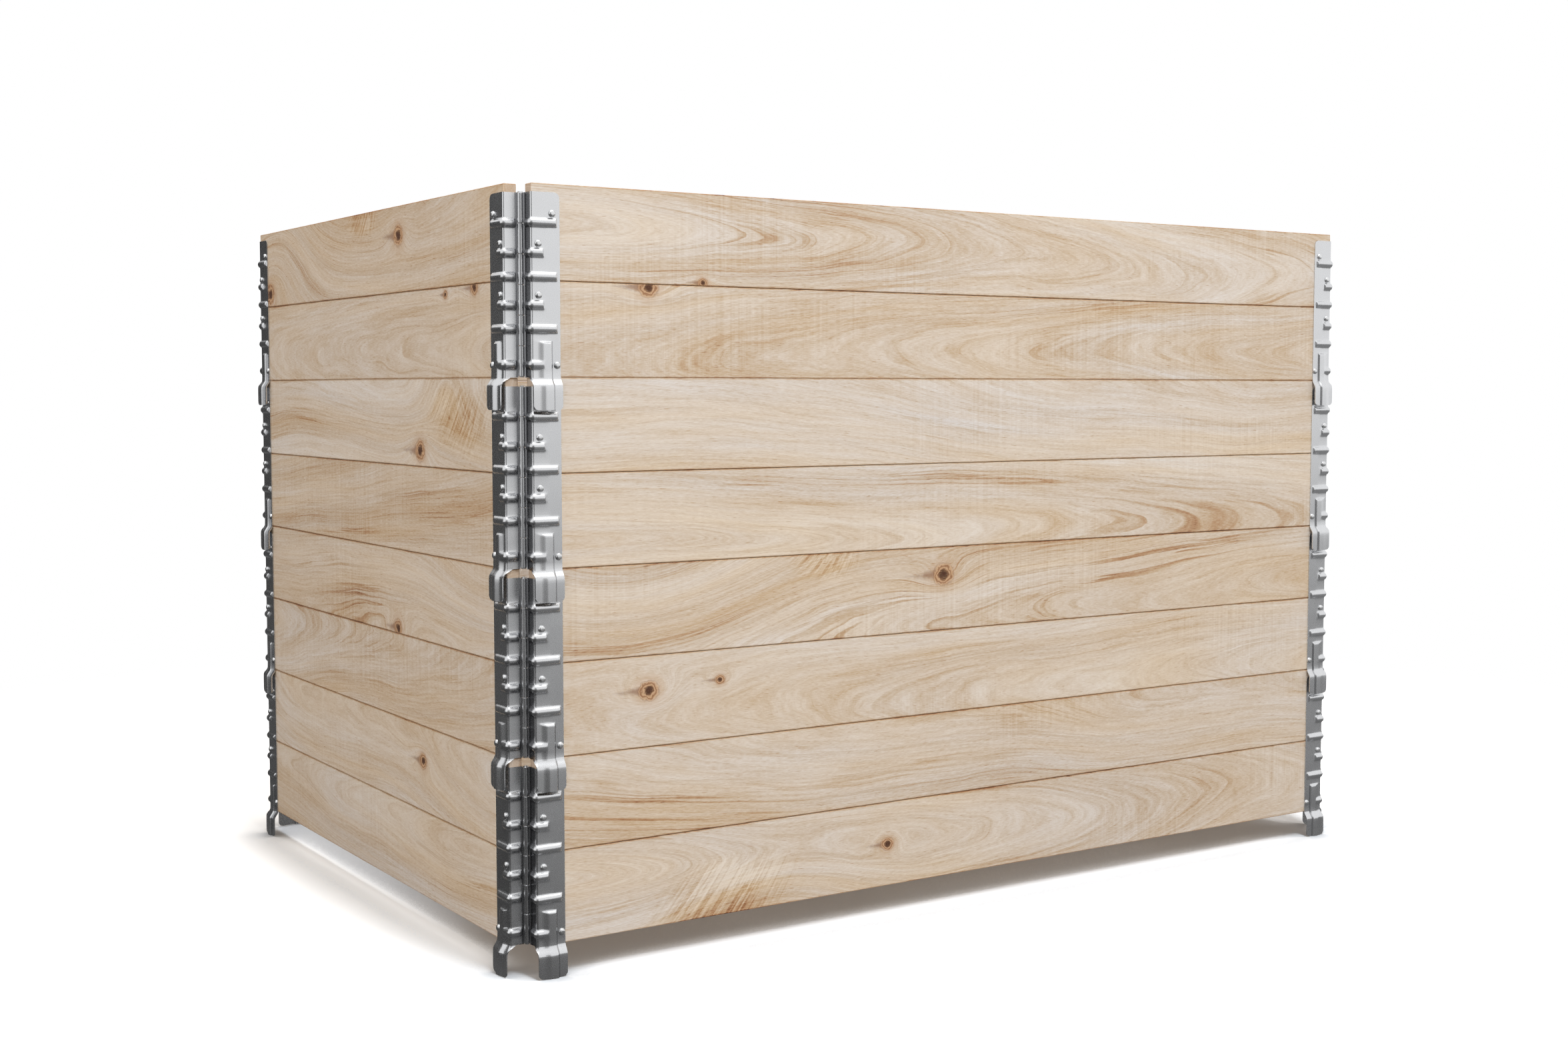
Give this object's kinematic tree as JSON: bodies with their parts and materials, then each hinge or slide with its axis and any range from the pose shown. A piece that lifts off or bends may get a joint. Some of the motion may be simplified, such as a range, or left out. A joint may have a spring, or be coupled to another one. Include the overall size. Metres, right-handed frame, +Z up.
{
  "type": "pallet collar stack",
  "caption": "Stack of folding wooden pallet collars: board panels joined at the corners by ribbed steel pin hinges whose stepped feet locate each collar on the one below.",
  "frame": {"origin": "under the middle of the stack, on the floor that the lowest feet stand on", "axes": "+X along the long side, +Y along the short side to the back panels, +Z up"},
  "size_m": [1.2176, 0.8176, 0.8004],
  "materials": {
    "wood": "planed, unfinished",
    "hinge_steel": "galvanised, satin",
    "rivet_steel": "zinc plated",
    "pin_steel": "zinc plated"
  },
  "bodies": {
    "collar_1_front": {"collar_1_front_boards": "wood", "collar_1_front_hinge_leaves": "hinge_steel", "collar_1_front_rivets": "rivet_steel", "collar_1_front_hinge_pins": "pin_steel"},
    "collar_1_back": {"collar_1_back_boards": "wood", "collar_1_back_hinge_leaves": "hinge_steel", "collar_1_back_rivets": "rivet_steel", "collar_1_back_hinge_pins": "pin_steel"},
    "collar_1_left": {"collar_1_left_boards": "wood", "collar_1_left_hinge_leaves": "hinge_steel", "collar_1_left_rivets": "rivet_steel"},
    "collar_1_right": {"collar_1_right_boards": "wood", "collar_1_right_hinge_leaves": "hinge_steel", "collar_1_right_rivets": "rivet_steel"},
    "collar_2_front": {"collar_2_front_boards": "wood", "collar_2_front_hinge_leaves": "hinge_steel", "collar_2_front_rivets": "rivet_steel", "collar_2_front_hinge_pins": "pin_steel"},
    "collar_2_back": {"collar_2_back_boards": "wood", "collar_2_back_hinge_leaves": "hinge_steel", "collar_2_back_rivets": "rivet_steel", "collar_2_back_hinge_pins": "pin_steel"},
    "collar_2_left": {"collar_2_left_boards": "wood", "collar_2_left_hinge_leaves": "hinge_steel", "collar_2_left_rivets": "rivet_steel"},
    "collar_2_right": {"collar_2_right_boards": "wood", "collar_2_right_hinge_leaves": "hinge_steel", "collar_2_right_rivets": "rivet_steel"},
    "collar_3_front": {"collar_3_front_boards": "wood", "collar_3_front_hinge_leaves": "hinge_steel", "collar_3_front_rivets": "rivet_steel", "collar_3_front_hinge_pins": "pin_steel"},
    "collar_3_back": {"collar_3_back_boards": "wood", "collar_3_back_hinge_leaves": "hinge_steel", "collar_3_back_rivets": "rivet_steel", "collar_3_back_hinge_pins": "pin_steel"},
    "collar_3_left": {"collar_3_left_boards": "wood", "collar_3_left_hinge_leaves": "hinge_steel", "collar_3_left_rivets": "rivet_steel"},
    "collar_3_right": {"collar_3_right_boards": "wood", "collar_3_right_hinge_leaves": "hinge_steel", "collar_3_right_rivets": "rivet_steel"},
    "collar_4_front": {"collar_4_front_boards": "wood", "collar_4_front_hinge_leaves": "hinge_steel", "collar_4_front_rivets": "rivet_steel", "collar_4_front_hinge_pins": "pin_steel"},
    "collar_4_back": {"collar_4_back_boards": "wood", "collar_4_back_hinge_leaves": "hinge_steel", "collar_4_back_rivets": "rivet_steel", "collar_4_back_hinge_pins": "pin_steel"},
    "collar_4_left": {"collar_4_left_boards": "wood", "collar_4_left_hinge_leaves": "hinge_steel", "collar_4_left_rivets": "rivet_steel"},
    "collar_4_right": {"collar_4_right_boards": "wood", "collar_4_right_hinge_leaves": "hinge_steel", "collar_4_right_rivets": "rivet_steel"}
  },
  "joints": [
    {"name": "collar_1_fold", "type": "hinge", "parent": "collar_1_front", "child": "collar_1_left", "pos_m": [-0.5838, -0.3838, 0.1284], "axis": [0, 0, 1], "range_deg": [-89, 89]},
    {"name": "collar_1_right_hinge", "type": "hinge", "parent": "collar_1_front", "child": "collar_1_right", "pos_m": [0.5838, -0.3838, 0.1284], "axis": [0, 0, 1], "range_deg": [-89, 89]},
    {"name": "collar_1_back_hinge", "type": "hinge", "parent": "collar_1_left", "child": "collar_1_back", "pos_m": [-0.5838, 0.3838, 0.1284], "axis": [0, 0, 1], "range_deg": [-89, 89]},
    {"name": "collar_2_lift", "type": "slide", "parent": "collar_1_front", "child": "collar_2_front", "axis": [0, 0, 1], "range_m": [0, 0.3]},
    {"name": "collar_2_fold", "type": "hinge", "parent": "collar_2_front", "child": "collar_2_left", "pos_m": [-0.5838, -0.3838, 0.3204], "axis": [0, 0, 1], "range_deg": [-89, 89]},
    {"name": "collar_2_right_hinge", "type": "hinge", "parent": "collar_2_front", "child": "collar_2_right", "pos_m": [0.5838, -0.3838, 0.3204], "axis": [0, 0, 1], "range_deg": [-89, 89]},
    {"name": "collar_2_back_hinge", "type": "hinge", "parent": "collar_2_left", "child": "collar_2_back", "pos_m": [-0.5838, 0.3838, 0.3204], "axis": [0, 0, 1], "range_deg": [-89, 89]},
    {"name": "collar_3_lift", "type": "slide", "parent": "collar_2_front", "child": "collar_3_front", "axis": [0, 0, 1], "range_m": [0, 0.3]},
    {"name": "collar_3_fold", "type": "hinge", "parent": "collar_3_front", "child": "collar_3_left", "pos_m": [-0.5838, -0.3838, 0.5124], "axis": [0, 0, 1], "range_deg": [-89, 89]},
    {"name": "collar_3_right_hinge", "type": "hinge", "parent": "collar_3_front", "child": "collar_3_right", "pos_m": [0.5838, -0.3838, 0.5124], "axis": [0, 0, 1], "range_deg": [-89, 89]},
    {"name": "collar_3_back_hinge", "type": "hinge", "parent": "collar_3_left", "child": "collar_3_back", "pos_m": [-0.5838, 0.3838, 0.5124], "axis": [0, 0, 1], "range_deg": [-89, 89]},
    {"name": "collar_4_lift", "type": "slide", "parent": "collar_3_front", "child": "collar_4_front", "axis": [0, 0, 1], "range_m": [0, 0.3]},
    {"name": "collar_4_fold", "type": "hinge", "parent": "collar_4_front", "child": "collar_4_left", "pos_m": [-0.5838, -0.3838, 0.7044], "axis": [0, 0, 1], "range_deg": [-89, 89]},
    {"name": "collar_4_right_hinge", "type": "hinge", "parent": "collar_4_front", "child": "collar_4_right", "pos_m": [0.5838, -0.3838, 0.7044], "axis": [0, 0, 1], "range_deg": [-89, 89]},
    {"name": "collar_4_back_hinge", "type": "hinge", "parent": "collar_4_left", "child": "collar_4_back", "pos_m": [-0.5838, 0.3838, 0.7044], "axis": [0, 0, 1], "range_deg": [-89, 89]}
  ],
  "couplings": [
    {"joint": "collar_1_right_hinge", "follows": "collar_1_fold", "ratio": 1},
    {"joint": "collar_1_back_hinge", "follows": "collar_1_fold", "ratio": -1},
    {"joint": "collar_2_fold", "follows": "collar_1_fold", "ratio": 1},
    {"joint": "collar_2_right_hinge", "follows": "collar_1_fold", "ratio": 1},
    {"joint": "collar_2_back_hinge", "follows": "collar_1_fold", "ratio": -1},
    {"joint": "collar_3_fold", "follows": "collar_1_fold", "ratio": 1},
    {"joint": "collar_3_right_hinge", "follows": "collar_1_fold", "ratio": 1},
    {"joint": "collar_3_back_hinge", "follows": "collar_1_fold", "ratio": -1},
    {"joint": "collar_4_fold", "follows": "collar_1_fold", "ratio": 1},
    {"joint": "collar_4_right_hinge", "follows": "collar_1_fold", "ratio": 1},
    {"joint": "collar_4_back_hinge", "follows": "collar_1_fold", "ratio": -1}
  ]
}
